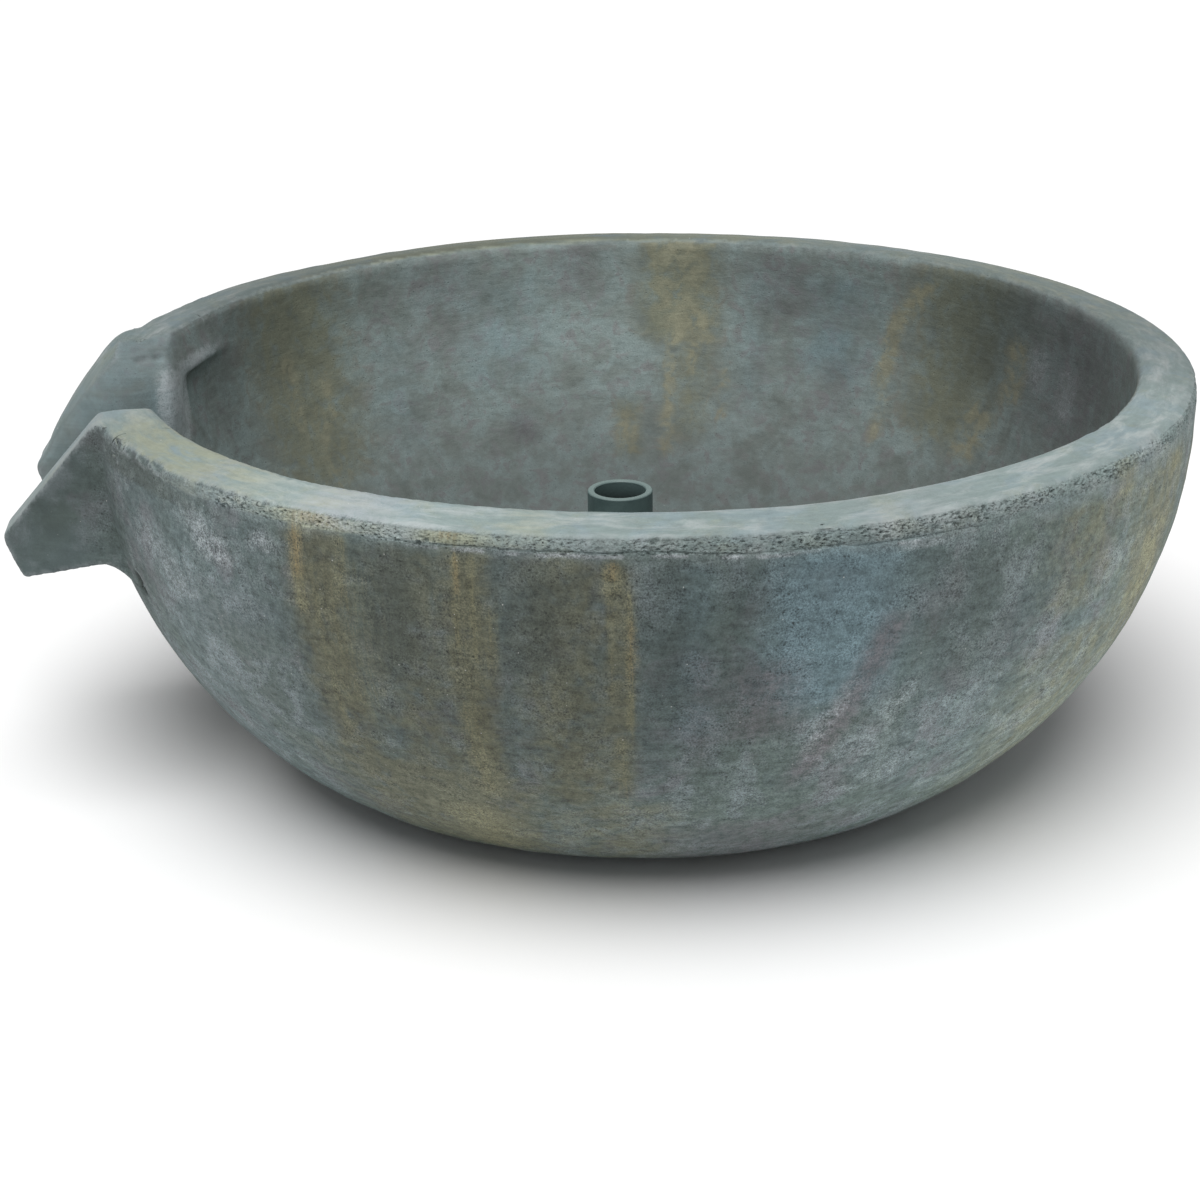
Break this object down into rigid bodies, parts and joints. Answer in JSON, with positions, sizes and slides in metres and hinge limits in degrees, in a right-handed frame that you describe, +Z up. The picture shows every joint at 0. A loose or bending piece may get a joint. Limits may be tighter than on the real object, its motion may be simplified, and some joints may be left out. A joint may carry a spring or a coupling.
{
  "type": "bowl fountain",
  "caption": "Round cast-concrete spill bowl fountain with a broad sloping rim, an open pouring spout on one side and an upright water inlet pipe rising from its floor.",
  "frame": {"origin": "centre of the base plane on the bowl's axis", "axes": "+Z up, +X away from the spout, which points along -X; +Y completes a right-handed frame"},
  "size_m": [0.8435, 0.7874, 0.2902],
  "materials": {
    "patinated_concrete": "matte",
    "bedding_mortar": "matte",
    "stainless_steel": "satin",
    "grey_pvc": "matte",
    "black_rubber": "matte",
    "sealant": "satin",
    "white_nylon": "matte"
  },
  "bodies": {
    "root": {"bowl_shell": "patinated_concrete", "spout": "patinated_concrete", "spout_bedding": "bedding_mortar", "spout_dowels": "stainless_steel", "standpipe": "grey_pvc", "bulkhead_body": "grey_pvc", "flange_gasket": "black_rubber", "flange_sealant": "sealant", "thrust_washer": "white_nylon", "locknut": "grey_pvc"}
  },
  "joints": []
}
